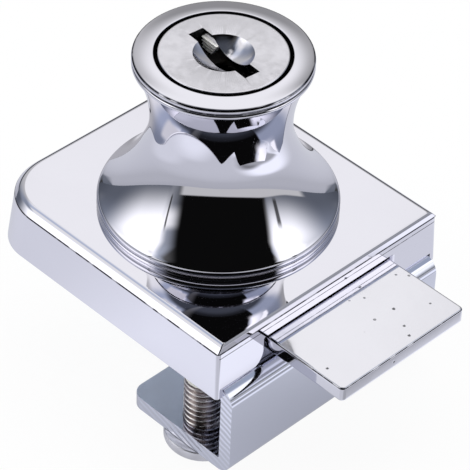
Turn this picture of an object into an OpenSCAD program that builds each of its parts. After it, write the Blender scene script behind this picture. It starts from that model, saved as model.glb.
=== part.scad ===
// Keyed bolt lock for a glass cabinet door: a chromed base with a waisted cylinder on top,
// a flat bolt that slides out of the base, and a bent clamp that grips the edge of the glass.
// Millimetres. The key turns about +Z, the bolt leaves along +X, and z = 0 is the glass face.

/* [Stack from the glass up] */
// Thickness of the soft pad under the clamp's upper flange
pad_t = 0.5; // [0.3:0.1:1]
// Height of the base's lower edge above the glass
base_lift = 1.2; // [0.8:0.1:1.6]
// Thickness of the steel plate that closes the base
back_plate_t = 1.5; // [1:0.1:2]
// Thickness of the bolt
bolt_t = 1.95; // [1.5:0.05:2.5]
// Thickness of the cam that drives the bolt
cam_t = 1.35; // [1.2:0.05:2]
// Thickness of the base's roof
roof_t = 1.2; // [1.1:0.1:2]

/* [Base] */
// From the key's axis to the wall that the bolt leaves by
base_front = 18.6; // [17.5:0.1:20]
// From the key's axis to the back wall
base_back = 20.7; // [20:0.1:26]
// Width of the base
base_w = 36; // [35.4:0.1:44]
// Thickness of the base's walls
base_wall = 1.5; // [1:0.1:2]
// Width of the slope round the base's upper edge
base_chamfer = 1.05; // [0.6:0.05:1.5]
// How far the walls spread from the slope down to the lower edge
base_draft = 0.23; // [0:0.01:0.4]
// Radius of the two back corners at the top of the wall
back_corner_r = 7.5; // [6:0.1:8.5]
// Radius of the two back corners at the lower edge
low_corner_r = 6; // [5:0.1:8.5]
// Radius of the two front corners
front_corner_r = 0.5; // [0.3:0.1:0.9]
// Radius at the lower corners of the wall beside the bolt
mouth_corner_r = 1.5; // [0.5:0.1:2]

/* [Cylinder housing] */
// Height of the housing's upper face above the base
housing_h = 21.9; // [21:0.1:26]
// Radius of the bell's lower edge
bell_r = 14.4; // [14.2:0.05:15.2]
// Rounding of the bell's lower edge
edge_r = 0.8; // [0.6:0.05:0.9]
// Height of the middle of that rounding above the base
edge_rise = 0.95; // [0.9:0.05:1.2]
// Smallest radius of the neck
neck_r = 8.33; // [8.2:0.01:8.6]
// Height of the neck's waist above the base
waist_h = 12.55; // [12:0.05:13.5]
// Radius of the waist's curve, seen in profile
waist_r = 10; // [9:0.1:12]
// How far the waist's curve runs down before the wider sweep of the bell takes over
waist_run = 3.4; // [2.8:0.1:4]
// Radius of the rim round the plug
rim_r = 10.5; // [10.3:0.02:11]
// Thickness of the rim's edge
rim_t = 1.4; // [1.2:0.05:1.8]
// Radius of the two beads round the rim's edge
rim_round = 0.32; // [0.2:0.02:0.35]
// Depth of the groove between the two beads
rim_groove = 0.12; // [0.05:0.01:0.2]
// How far the rim's edge stands out over the flare below it
rim_lip = 0.3; // [0.1:0.05:0.4]
// Fall of the rim's top from the plug out to its edge
rim_drop = 0.3; // [0.2:0.05:0.8]
// Height of the foot ring below the bell's edge
foot_h = 0.4; // [0.3:0.05:0.5]
// Depth of the groove between the foot ring and the bell's edge
foot_groove = 0.45; // [0.2:0.05:0.8]
// Radius of the spigot that enters the base's roof
spigot_r = 8; // [7.7:0.1:8.2]

/* [Plug and key] */
// Radius of the plug's face
face_r = 7.55; // [7.45:0.05:7.7]
// Gap round the plug's face
face_gap = 0.45; // [0.2:0.05:0.6]
// How far the plug's face lies below the housing's upper face
face_recess = 0.1; // [0:0.05:0.3]
// Thickness of the plug's face
face_t = 2; // [1.5:0.1:2.5]
// Radius of the plug's shank
plug_r = 6; // [5.8:0.05:6.2]
// Long side of the keyway, along the bolt
key_w = 10.3; // [9.5:0.1:10.8]
// Short side of the keyway
key_t = 2.1; // [1.8:0.1:2.5]
// Radius of the dish that leads the key in
dish_r = 3.55; // [2.5:0.05:4]
// Depth of that dish
dish_d = 1.5; // [0.8:0.1:1.8]
// Angle of the keyway from the bolt's direction when the bolt is out, in degrees
key_at = -5.6; // [-10:0.1:10]
// Turn of the key between bolt out and bolt in, in degrees
key_turn = 90; // [80:1:90]

/* [Wafers] */
// Distance between neighbouring wafers
wafer_pitch = 2.4; // [2.2:0.1:2.5]
// Thickness of a wafer
wafer_t = 0.8; // [0.5:0.05:1]
// Width of a wafer
wafer_w = 6; // [5.4:0.1:6.2]
// Travel of a wafer from flush to fully out
wafer_out = 0.9; // [0.5:0.05:1.1]
// Outer radius of a wafer's spring
spring_r = 0.6; // [0.5:0.05:0.65]

/* [Bolt] */
// Width of the bolt
bolt_w = 20.2; // [19:0.1:20.6]
// From the key's axis to the tip of the bolt, when it is out
bolt_reach = 30.4; // [29:0.1:34]
// From the key's axis to the inner end of the bolt, when it is out
bolt_back = 0.9; // [0.5:0.1:1.5]
// Travel of the bolt
bolt_travel = 10; // [9:0.1:10.4]
// Radius of the bolt's outer corners
bolt_corner_r = 0.6; // [0.3:0.1:2]
// Radius of the crank pin under the cam
pin_r = 1.2; // [0.9:0.05:1.3]

/* [Clamp] */
// Thickness of the clamp's sheet
sheet_t = 1.8; // [1.4:0.1:2.2]
// Outer radius of the clamp's two bends
bend_r = 2; // [1.9:0.1:3]
// From the base's side in to the edge of the clamp
clamp_inset = 0.9; // [0.7:0.1:1.3]
// From the key's axis to the outer face of the clamp's web
web_reach = 20.2; // [19.6:0.1:21.5]
// Space between the pad and the clamp's lower plate
jaw = 8.8; // [7:0.1:12]
// From the key's axis to the free edge of the lower plate
jaw_back = 3.4; // [-2:0.1:5]
// From the key's axis to the free edge of the upper flange
flange_back = 1; // [-3:0.1:1.5]
// Radius of the clamp's free corners
clamp_corner_r = 1.8; // [0.5:0.1:2.5]
// From the key's axis to the clamping screws, along the bolt
screw_x = 12.1; // [11.9:0.1:13.5]
// From the clamp's edge in to the clamping screws
screw_inset = 3.7; // [3.3:0.1:4.2]
// Diameter of a clamping screw over its thread
screw_d = 4.9; // [3.9:0.1:5.2]
// Diameter of a clamping screw's head
screw_head_d = 9.4; // [8:0.1:9.8]
// Height of a clamping screw's head
screw_head_h = 2.5; // [2.2:0.1:3.4]
// Thickness of the swivelling tip on a clamping screw
tip_t = 0.5; // [0.3:0.05:0.8]
// Space between the pad and the tips when the screws are fully in
tip_gap = 2.1; // [1.5:0.1:3]

/* [Small screws] */
// Diameter of the screws that hold the clamp, the plate and the cam
fix_d = 2.9; // [2.5:0.1:3]
// Head diameter of the screws that hold the clamp and the plate
fix_head_d = 5.6; // [5:0.1:5.8]
// Diameter of the screws that hold the housing
housing_fix_d = 2.4; // [2:0.1:2.5]
// Head diameter of the screws that hold the housing
housing_head_d = 4.2; // [3.8:0.1:4.4]

/* [Clearances] */
// Running clearance round the plug, all screws and the spigot
run_gap = 0.05; // [0.03:0.01:0.08]
// Clearance round sliding plates and loose edges
slide_gap = 0.15; // [0.1:0.01:0.2]
// Clearance of the crank pin in the bolt's slot
slot_gap = 0.3; // [0.28:0.01:0.4]

/* [Hidden] */
$fn = 96;
WAFERS = 5;
cut = 1;
slice_t = 0.01;

// Heights, stacked from the glass up
z_flange = pad_t;
z_flange_top = z_flange + sheet_t;
z_plate_top = z_flange_top + back_plate_t;
z_bolt = z_plate_top + slide_gap;
z_bolt_top = z_bolt + bolt_t;
z_cam = z_bolt_top + 2 * slide_gap;
z_cam_top = z_cam + cam_t;
z_roof = z_cam_top + 2 * run_gap;
z_base_top = z_roof + roof_t;
z_face = z_base_top + housing_h;
z_plug_face = z_face - face_recess;
z_face_seat = z_plug_face - face_t;
z_jaw = -jaw;
z_jaw_low = z_jaw - sheet_t;

// Cylinder housing: bell's edge, sweep, waist and flare as arcs that meet smoothly, as [radius, height]
edge_c = [bell_r - edge_r, z_base_top + edge_rise];
z_waist = z_base_top + waist_h;
waist_c = [neck_r + waist_r, z_waist];
waist_turn = asin(waist_run / waist_r);
waist_dir = [cos(waist_turn), sin(waist_turn)];
waist_end = waist_c - waist_r * waist_dir;
edge_to_waist = waist_end - edge_c;
sweep_r = (edge_to_waist * edge_to_waist - pow(edge_r, 2)) / (2 * (edge_r - waist_dir * edge_to_waist));
sweep_c = waist_end + sweep_r * waist_dir;
edge_end = edge_c + (sweep_c - edge_c) * edge_r / (edge_r + sweep_r);
z_rim = z_face - rim_drop - rim_t;
flare_rise = z_rim - z_waist;
flare_out = rim_r - rim_lip - neck_r;
flare_r = (pow(flare_rise, 2) + pow(flare_out, 2)) / (2 * flare_out);
flare_c = [neck_r + flare_r, z_waist];
face_well_r = face_r + face_gap;
housing_fix_wall = 0.5;
housing_fix_at = spigot_r + housing_head_d / 2 + housing_fix_wall;
housing_fix_in = 2.6;

// Plug, wafers and springs
z_shank = z_cam_top + run_gap;
tail_r = 3.2;
tail_flat = 2.4;
tail_in = cam_t / 2 - run_gap;
wafer_depth = 3;
wafer_top = z_face_seat - wafer_depth;
z_key_end = wafer_top - WAFERS * wafer_pitch;
wafer_end_r = plug_r - run_gap;
wafer_end_w = 2.5;
wafer_window_w = key_t + 4 * run_gap;
wafer_window_l = 2 * (plug_r - wafer_end_w);
wafer_code = [0.3, -0.2, 0.1, -0.35, 0.2];
spring_y = wafer_w / 2 + spring_r + 2 * run_gap;
lug_w = 2 * spring_r + run_gap;
lug_x = 1.25;
lug_l = 0.7;
spring_back = -1.35;
stop_out = 1.4;
stop_r = plug_r + stop_out;
stop_h = 1.2;
stop_half = 15;
stop_at = 225;
stop_slack = 1;

// Cam and bolt: the crank pin swings evenly to both sides of straight across
crank_r = bolt_travel / 2 / sin(key_turn / 2);
crank_at = 90 - key_turn / 2;
cam_hub_r = 4.2;
pin_wall = 0.8;
cam_arm_r = pin_r + pin_wall;
slot_y = crank_r * cos(key_turn / 2) - pin_r - slot_gap;
slot_l = crank_r + pin_r + slot_gap - slot_y;
cam_screw_l = 6;
cam_head_d = fix_d + 2 * (cam_t - tail_in - 2 * run_gap);

// Base: mouth of the bolt, rails, bosses
mouth_half = bolt_w / 2 + 2 * slide_gap;
z_mouth = z_bolt_top + 2 * slide_gap;
clamp_w = base_w - 2 * clamp_inset;
pocket_half = clamp_w / 2 + slide_gap;
z_pocket = z_flange_top + run_gap;
inner_front = base_front - base_wall;
inner_back = base_back - base_wall;
inner_half = base_w / 2 - base_wall;
rail_y = bolt_w / 2 + slide_gap;
rail_t = 1.5;
rail_back = 1.5;
rail_x = bolt_back - bolt_travel - rail_back;
ledge_w = 0.75;
fix_x = 5.8;
fix_inset = 3.2;
fix_y = clamp_w / 2 - fix_inset;
fix_in = 3;
boss_r = 2.8;
boss_in = 1.3;
plate_fix_x = inner_back - back_corner_r + boss_in;
plate_fix_y = inner_half - back_corner_r + boss_in;

// Clamp and its screws
web_in = web_reach - sheet_t;
pad_edge_gap = 2.2;
screw_y = clamp_w / 2 - screw_inset;
z_tip = -tip_gap;
z_screw_end = z_tip - tip_t - run_gap;
z_head = z_jaw_low - run_gap;
tip_r = screw_d / 2 - slide_gap;
tip_stem_r = 0.9;
tip_stem_l = 1.5;
recess_w = 1.1;
recess_l = 4.6;
recess_d = 1.6;
head_dome = 1.5;

// Both places of a pair that mirrors across the bolt
module pair(x, y) {
    for (side = [-1, 1]) translate([x, side * y, 0]) children();
}

// Outline of the base seen from above, drawn in by inset
module base_outline(inset) {
    r = back_corner_r - inset;
    half = base_w / 2 - inset;
    length = base_front + base_back - 2 * inset;
    translate([inset - base_back + r, -half]) square([length - r, 2 * half]);
    translate([inset - base_back, r - half]) square([r, 2 * (half - r)]);
    pair(inset - base_back + r, half - r) circle(r);
}

// Thin slice of the base's outer form, with its front corners rounded too
module base_slice(z, inset, corner_r) {
    half = base_w / 2 - inset;
    translate([0, 0, z]) linear_extrude(slice_t) {
        pair(inset - base_back + corner_r, half - corner_r) circle(corner_r);
        pair(base_front - inset - front_corner_r, half - front_corner_r) circle(front_corner_r);
    }
}

// Outer form: walls that spread downwards, and the slope round the upper edge
module base_form() {
    hull($fn = 64) {
        base_slice(base_lift, -base_draft, low_corner_r);
        base_slice(z_base_top - base_chamfer, 0, back_corner_r);
        base_slice(z_base_top - slice_t, base_chamfer, back_corner_r - base_chamfer);
    }
}

// Space for a countersunk screw that points up, with its head's flat at z
module countersunk(z, d, head_d, length, gap = 0) {
    r = d / 2 + gap;
    head_r = head_d / 2 + gap;
    translate([0, 0, z - (gap > 0 ? cut : 0)]) cylinder(r = r, h = length + (gap > 0 ? cut : 0));
    translate([0, 0, z]) cylinder(r1 = head_r, r2 = r, h = head_r - r);
    if (gap > 0) translate([0, 0, z - cut]) cylinder(r = head_r, h = cut);
}

// Opening in the front wall for the bolt, over the notch that the clamp's flange passes through
module base_mouth() {
    depth = base_wall + 2 * cut;
    translate([inner_front - cut, 0, 0]) rotate([90, 0, 90]) linear_extrude(depth) {
        translate([-pocket_half, base_lift - cut]) square([2 * pocket_half, z_pocket - base_lift + cut]);
        translate([-mouth_half, z_pocket - cut]) square([2 * mouth_half, z_mouth - z_pocket + cut]);
        for (side = [0, 1]) mirror([side, 0])
            translate([mouth_half, z_pocket]) difference() {
                translate([-cut, -cut]) square([mouth_corner_r + cut, mouth_corner_r + cut]);
                translate([mouth_corner_r, mouth_corner_r]) circle(mouth_corner_r);
            }
    }
}

// Room for the clamp's flange, which is a little wider than the space between the side walls
module flange_pocket() {
    x = flange_back - 2 * slide_gap;
    translate([x, -pocket_half, base_lift - cut])
        cube([inner_front - x, 2 * pocket_half, z_pocket - base_lift + cut]);
}

// Rails that guide the bolt's edges, each with a ledge over the bolt
module base_rails() {
    length = inner_front - rail_x;
    for (side = [0, 1]) mirror([0, side, 0]) {
        translate([rail_x, rail_y, z_plate_top + slide_gap]) cube([length, rail_t, z_roof - z_plate_top]);
        translate([rail_x, rail_y - ledge_w, z_bolt_top + slide_gap])
            cube([length, ledge_w + rail_t, z_roof - z_bolt_top]);
    }
}

module base_bosses() {
    translate([0, 0, z_plate_top]) {
        pair(fix_x, fix_y) cylinder(r = boss_r, h = z_roof - z_plate_top + roof_t / 2);
        pair(-plate_fix_x, plate_fix_y) cylinder(r = boss_r, h = z_roof - z_plate_top + roof_t / 2);
    }
}

module base_case() {
    color("#cfd0da") difference() {
        union() {
            difference() {
                base_form();
                translate([0, 0, base_lift - cut]) linear_extrude(z_roof - base_lift + cut) base_outline(base_wall);
            }
            base_rails();
            base_bosses();
        }
        base_mouth();
        flange_pocket();
        translate([0, 0, z_roof - cut]) cylinder(r = spigot_r + run_gap, h = roof_t + 2 * cut);
        for (side = [-1, 1]) translate([side * housing_fix_at, 0, 0])
            countersunk(z_roof, housing_fix_d, housing_head_d, roof_t + cut, run_gap);
        pair(fix_x, fix_y) translate([0, 0, z_plate_top - cut])
            cylinder(r = fix_d / 2 + run_gap, h = fix_in + cut + slide_gap);
        pair(-plate_fix_x, plate_fix_y) translate([0, 0, z_plate_top - cut])
            cylinder(r = fix_d / 2 + run_gap, h = fix_in + cut + slide_gap);
    }
}

// Inner half of a profile arc between two heights, cut away to hollow the housing's outline
module arc_cut(centre, r, low, high) {
    intersection() {
        translate(centre) circle(r);
        translate([0, low]) square([centre[0], high - low]);
    }
}

// Half section of the housing: foot ring, bell, neck and rim, with the spigot below
module housing_section() {
    rim_in = rim_r - rim_round;
    difference() {
        union() {
            polygon([[0, z_base_top], [bell_r - foot_groove, z_base_top], edge_end,
                     [rim_r - rim_lip, z_rim], [0, z_rim]]);
            translate(edge_c) circle(edge_r);
            translate([0, z_base_top]) square([bell_r, foot_h]);
            polygon([[0, z_rim], [rim_in, z_rim], [rim_in, z_rim + rim_t], [face_well_r, z_face], [0, z_face]]);
            translate([0, z_rim + rim_round]) square([rim_r - rim_groove, rim_t - 2 * rim_round]);
            for (h = [rim_round, rim_t - rim_round]) translate([rim_in, z_rim + h]) circle(rim_round);
            translate([0, z_roof]) square([spigot_r, z_base_top - z_roof]);
        }
        arc_cut(sweep_c, sweep_r, edge_end[1], waist_end[1]);
        arc_cut(waist_c, waist_r, waist_end[1], z_waist);
        arc_cut(flare_c, flare_r, z_waist, z_rim);
    }
}

// Room beside the plug where the wafers spring out, at both ends of the key's turn
module wafer_groove() {
    intersection() {
        translate([wafer_out + run_gap, 0, 0]) cylinder(r = plug_r + run_gap, h = z_face_seat);
        translate([0, -wafer_w / 2 - slide_gap, z_key_end])
            cube([2 * plug_r, wafer_w + 2 * slide_gap, wafer_top + wafer_pitch - z_key_end]);
    }
}

module cylinder_housing() {
    color("#d4d5df") difference() {
        rotate_extrude() housing_section();
        translate([0, 0, z_roof - cut]) cylinder(r = plug_r + run_gap, h = z_face - z_roof + 2 * cut);
        translate([0, 0, z_face_seat - slide_gap]) cylinder(r = face_well_r, h = face_t + slide_gap + cut);
        for (turn = [0, key_turn]) rotate([0, 0, key_at + turn]) wafer_groove();
        rotate([0, 0, stop_at - stop_half - stop_slack])
            translate([0, 0, z_face_seat - stop_h - slide_gap])
                rotate_extrude(angle = key_turn + 2 * (stop_half + stop_slack))
                    square([stop_r + slide_gap, stop_h + 2 * slide_gap]);
        for (side = [-1, 1]) translate([side * housing_fix_at, 0, z_base_top - cut])
            cylinder(r = housing_fix_d / 2 + run_gap, h = housing_fix_in + cut + slide_gap);
    }
}

module housing_screws() {
    color("#b9bcc2") for (side = [-1, 1]) translate([side * housing_fix_at, 0, 0])
        countersunk(z_roof, housing_fix_d, housing_head_d, roof_t + housing_fix_in);
}

function wafer_z(i) = wafer_top - (i - 1) * wafer_pitch;

// Slot through the plug for one wafer, with the pocket for its spring
module wafer_slot(i) {
    translate([0, 0, wafer_z(i) - run_gap]) {
        translate([-plug_r - cut, -wafer_w / 2 - run_gap, 0])
            cube([2 * (plug_r + cut), wafer_w + 2 * run_gap, wafer_t + 2 * run_gap]);
        translate([lug_x - run_gap, 0, 0])
            cube([lug_l + wafer_out + 2 * run_gap, wafer_w / 2 + lug_w + 3 * run_gap, wafer_t + 2 * run_gap]);
    }
    translate([spring_back - run_gap, spring_y, wafer_z(i) + wafer_t / 2])
        rotate([0, 90, 0]) cylinder(r = spring_r + run_gap, h = lug_x - spring_back + run_gap);
}

module plug() {
    color("#dcdce4") difference() {
        union() {
            translate([0, 0, z_face_seat]) cylinder(r = face_r, h = face_t);
            translate([0, 0, z_shank]) cylinder(r = plug_r, h = z_face_seat - z_shank + face_t / 2);
            translate([0, 0, z_cam_top - tail_in]) intersection() {
                cylinder(r = tail_r, h = tail_in + 2 * run_gap + cut);
                translate([-tail_r, -tail_flat, 0]) cube([2 * tail_r, 2 * tail_flat, tail_in + 2 * run_gap + cut]);
            }
            rotate([0, 0, stop_at - stop_half]) translate([0, 0, z_face_seat - stop_h])
                rotate_extrude(angle = 2 * stop_half) square([stop_r, stop_h + face_t / 2]);
        }
        rotate([0, 0, key_at]) {
            translate([-key_w / 2, -key_t / 2, z_key_end]) cube([key_w, key_t, z_face - z_key_end]);
            for (i = [1 : WAFERS]) wafer_slot(i);
        }
        dish_sphere = (pow(dish_r, 2) + pow(dish_d, 2)) / (2 * dish_d);
        translate([0, 0, z_plug_face - dish_d + dish_sphere]) sphere(dish_sphere);
        translate([0, 0, z_cam]) cylinder(r = fix_d / 2 + run_gap, h = cam_screw_l + slide_gap);
    }
}

// Flat wafer with the key's window, and the lug that its spring pushes
module wafer(i) {
    color("#c8c3b4") rotate([0, 0, key_at]) translate([0, 0, wafer_z(i)]) linear_extrude(wafer_t) difference() {
        union() {
            intersection() {
                circle(wafer_end_r);
                square([2 * plug_r, wafer_w], center = true);
            }
            translate([lug_x, 0]) square([lug_l, wafer_w / 2 + lug_w]);
        }
        translate([wafer_code[i - 1], 0]) square([wafer_window_l, wafer_window_w], center = true);
    }
}

module wafer_spring(i) {
    color("#9aa0a6") rotate([0, 0, key_at])
        translate([spring_back, spring_y, wafer_z(i) + wafer_t / 2]) rotate([0, 90, 0]) difference() {
            cylinder(r = spring_r, h = lug_x - spring_back - run_gap);
            translate([0, 0, -cut]) cylinder(r = spring_r / 2, h = lug_x - spring_back + 2 * cut);
        }
}

module cam() {
    color("#aeb2b8") rotate([0, 0, crank_at]) difference() {
        union() {
            translate([0, 0, z_cam]) cylinder(r = cam_hub_r, h = cam_t);
            translate([0, -cam_arm_r, z_cam]) cube([crank_r, 2 * cam_arm_r, cam_t]);
            translate([crank_r, 0, z_cam]) cylinder(r = cam_arm_r, h = cam_t);
            translate([crank_r, 0, z_bolt + slide_gap]) cylinder(r = pin_r, h = z_cam - z_bolt);
        }
        rotate([0, 0, -crank_at]) translate([0, 0, z_cam_top - tail_in - run_gap]) intersection() {
            cylinder(r = tail_r + run_gap, h = cam_t);
            translate([-2 * tail_r, -tail_flat - run_gap, 0]) cube([4 * tail_r, 2 * (tail_flat + run_gap), cam_t]);
        }
        countersunk(z_cam, fix_d, cam_head_d, cam_t, run_gap);
    }
}

module cam_screw() {
    color("#b9bcc2") countersunk(z_cam, fix_d, cam_head_d, cam_screw_l);
}

module bolt() {
    half = bolt_w / 2;
    color("#d9dae2") translate([0, 0, z_bolt]) linear_extrude(bolt_t) difference() {
        union() {
            translate([bolt_back, -half]) square([bolt_reach - bolt_back - bolt_corner_r, bolt_w]);
            translate([bolt_back, bolt_corner_r - half])
                square([bolt_reach - bolt_back, bolt_w - 2 * bolt_corner_r]);
            pair(bolt_reach - bolt_corner_r, half - bolt_corner_r) circle(bolt_corner_r);
        }
        translate([bolt_travel / 2 - pin_r - slot_gap, slot_y]) square([2 * (pin_r + slot_gap), slot_l]);
    }
}

module back_plate() {
    color("#a9adb3") difference() {
        translate([0, 0, z_flange_top]) linear_extrude(back_plate_t) base_outline(base_wall + slide_gap);
        pair(fix_x, fix_y) translate([0, 0, z_flange_top - cut])
            cylinder(r = fix_d / 2 + run_gap, h = back_plate_t + 2 * cut);
        pair(-plate_fix_x, plate_fix_y)
            countersunk(z_flange_top, fix_d, fix_head_d, back_plate_t + cut, run_gap);
    }
}

module back_plate_screws() {
    color("#b9bcc2") pair(-plate_fix_x, plate_fix_y)
        countersunk(z_flange_top, fix_d, fix_head_d, back_plate_t + fix_in);
}

// Quarter of a bend, from the +X direction towards +Y
module bend_section() {
    intersection() {
        difference() {
            circle(bend_r);
            circle(bend_r - sheet_t);
        }
        square(bend_r + cut);
    }
}

// Section of the clamp, as [along the bolt, height]
module clamp_section() {
    bend_x = web_reach - bend_r;
    translate([flange_back, z_flange]) square([bend_x - flange_back, sheet_t]);
    translate([web_in, z_jaw_low + bend_r]) square([sheet_t, z_flange_top - z_jaw_low - 2 * bend_r]);
    translate([jaw_back, z_jaw_low]) square([bend_x - jaw_back, sheet_t]);
    translate([bend_x, z_flange_top - bend_r]) bend_section();
    translate([bend_x, z_jaw_low + bend_r]) mirror([0, 1]) bend_section();
}

// What rounds off the free corners of a plate that starts at x, between two heights
module clamp_corners(x, z_low, z_high) {
    for (side = [0, 1]) mirror([0, side, 0])
        translate([x + clamp_corner_r, clamp_w / 2 - clamp_corner_r, z_low])
            linear_extrude(z_high - z_low) difference() {
                translate([-clamp_corner_r - cut, 0]) square(clamp_corner_r + cut);
                circle(clamp_corner_r);
            }
}

module clamp_bracket() {
    color("#c4c6d2") difference() {
        rotate([90, 0, 0]) linear_extrude(clamp_w, center = true) clamp_section();
        clamp_corners(flange_back, z_flange - cut, z_flange_top + cut);
        clamp_corners(jaw_back, z_jaw_low - cut, z_jaw + cut);
        pair(screw_x, screw_y) translate([0, 0, z_jaw_low - cut])
            cylinder(r = screw_d / 2 + run_gap, h = sheet_t + 2 * cut);
        pair(fix_x, fix_y) countersunk(z_flange, fix_d, fix_head_d, sheet_t + cut, run_gap);
    }
}

module bracket_screws() {
    color("#b9bcc2") pair(fix_x, fix_y)
        countersunk(z_flange, fix_d, fix_head_d, sheet_t + back_plate_t + fix_in);
}

// Pad on the glass: thin under the clamp's flange, thick beside it, where it fills the base
module glass_pad() {
    step_x = flange_back - 2 * slide_gap;
    color("#c0c8d2") intersection() {
        linear_extrude(z_flange_top) base_outline(base_wall + 2 * slide_gap);
        union() {
            translate([-base_back, -base_w, 0]) cube([base_back + step_x, 2 * base_w, z_flange_top]);
            translate([-base_back, -base_w, 0]) cube([base_back + web_in - pad_edge_gap, 2 * base_w, pad_t]);
        }
    }
}

// Half section of a clamping screw's head, domed below
module screw_head_section() {
    r = screw_head_d / 2;
    dome = (pow(r, 2) + pow(screw_head_h, 2)) / (2 * screw_head_h);
    side_h = screw_head_h / 2;
    intersection() {
        translate([0, z_head - screw_head_h]) square([r, screw_head_h]);
        union() {
            translate([0, z_head - side_h]) square([r, side_h]);
            intersection() {
                translate([0, z_head - screw_head_h + head_dome * dome]) circle(head_dome * dome);
                translate([0, z_head - screw_head_h]) square([r, side_h]);
            }
        }
    }
}

module clamp_screw(side) {
    color("#8f8f96") translate([screw_x, side * screw_y, 0]) difference() {
        union() {
            translate([0, 0, z_head - screw_head_h / 2])
                cylinder(r = screw_d / 2, h = z_screw_end - z_head + screw_head_h / 2);
            rotate_extrude() screw_head_section();
        }
        translate([0, 0, z_screw_end - tip_stem_l - 2 * run_gap])
            cylinder(r = tip_stem_r + run_gap, h = tip_stem_l + cut);
        for (turn = [0, 90]) rotate([0, 0, turn])
            translate([-recess_l / 2, -recess_w / 2, z_head - screw_head_h - cut])
                cube([recess_l, recess_w, recess_d + cut]);
    }
}

// Tip that stays still against the glass while its screw turns
module screw_tip(side) {
    color("#e8e6dc") translate([screw_x, side * screw_y, 0]) {
        translate([0, 0, z_tip - tip_t]) cylinder(r = tip_r, h = tip_t);
        translate([0, 0, z_tip - tip_t - tip_stem_l]) cylinder(r = tip_stem_r, h = tip_stem_l + tip_t / 2);
    }
}

base_case();
cylinder_housing();
housing_screws();
plug();
for (i = [1 : WAFERS]) {
    wafer(i);
    wafer_spring(i);
}
cam();
cam_screw();
bolt();
back_plate();
back_plate_screws();
clamp_bracket();
bracket_screws();
glass_pad();
clamp_screw(-1);  // clamp_screw_left
clamp_screw(1);  // clamp_screw_right
screw_tip(-1);  // screw_tip_left
screw_tip(1);  // screw_tip_right
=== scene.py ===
"""Glass cabinet door lock: camera, studio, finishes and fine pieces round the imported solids."""
import math

import bmesh
import bpy
from mathutils import Matrix, Vector


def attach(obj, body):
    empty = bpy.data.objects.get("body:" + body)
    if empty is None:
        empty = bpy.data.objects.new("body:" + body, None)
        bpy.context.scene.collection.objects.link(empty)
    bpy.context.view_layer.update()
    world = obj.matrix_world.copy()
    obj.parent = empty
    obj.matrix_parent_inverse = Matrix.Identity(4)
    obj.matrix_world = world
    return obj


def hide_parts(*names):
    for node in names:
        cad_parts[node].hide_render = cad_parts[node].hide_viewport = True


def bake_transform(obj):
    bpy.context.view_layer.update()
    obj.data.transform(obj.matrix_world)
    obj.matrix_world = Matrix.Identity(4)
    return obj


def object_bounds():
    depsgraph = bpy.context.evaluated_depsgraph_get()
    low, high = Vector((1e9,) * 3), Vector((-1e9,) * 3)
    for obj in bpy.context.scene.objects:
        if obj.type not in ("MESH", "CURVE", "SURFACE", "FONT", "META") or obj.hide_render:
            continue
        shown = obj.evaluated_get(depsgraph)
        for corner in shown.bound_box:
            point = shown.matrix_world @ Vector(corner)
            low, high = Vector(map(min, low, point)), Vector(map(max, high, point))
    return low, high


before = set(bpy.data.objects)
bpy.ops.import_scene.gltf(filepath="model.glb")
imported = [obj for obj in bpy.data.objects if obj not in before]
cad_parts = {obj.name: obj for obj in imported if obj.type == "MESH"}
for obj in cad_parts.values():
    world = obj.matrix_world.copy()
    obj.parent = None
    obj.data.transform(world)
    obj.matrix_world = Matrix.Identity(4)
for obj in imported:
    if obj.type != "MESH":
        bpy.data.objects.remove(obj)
cad_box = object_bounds()
scene = bpy.context.scene
scene.view_settings.view_transform = "Standard"
MM = 0.001

# Camera at the photograph's angle, fitted to the edges of the base and the bolt
CAM_AZ, CAM_EL, CAM_ROLL = math.radians(44.5396), math.radians(39.8623), math.radians(2.1208)
CAM_DIST, CAM_TARGET = 322.255 * MM, Vector((0, 0, 9.2 * MM))
FOCAL_PX, CENTRE_PX, FRAME_PX, SENSOR = 2726.835, (218.39, 198.192), 470, 36

TO_CAM = Vector((math.sin(CAM_AZ) * math.cos(CAM_EL), -math.cos(CAM_AZ) * math.cos(CAM_EL), math.sin(CAM_EL)))
LEVEL_CAM = Vector((math.sin(CAM_AZ), -math.cos(CAM_AZ), 0))
LEVEL_RIGHT = Vector((math.cos(CAM_AZ), math.sin(CAM_AZ), 0))


def make_camera():
    up = TO_CAM.cross(LEVEL_RIGHT)
    x = math.cos(CAM_ROLL) * LEVEL_RIGHT + math.sin(CAM_ROLL) * up
    y = -math.sin(CAM_ROLL) * LEVEL_RIGHT + math.cos(CAM_ROLL) * up
    data = bpy.data.cameras.new("camera")
    data.sensor_width = SENSOR
    data.lens = FOCAL_PX / FRAME_PX * SENSOR
    data.shift_x = 0.5 - CENTRE_PX[0] / FRAME_PX
    data.shift_y = CENTRE_PX[1] / FRAME_PX - 0.5
    data.clip_start, data.clip_end = 0.01, 20
    cam = bpy.data.objects.new("camera", data)
    scene.collection.objects.link(cam)
    axes = Matrix((x, y, TO_CAM)).transposed().to_4x4()
    cam.matrix_world = Matrix.Translation(CAM_TARGET + TO_CAM * CAM_DIST) @ axes
    scene.camera = cam


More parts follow.
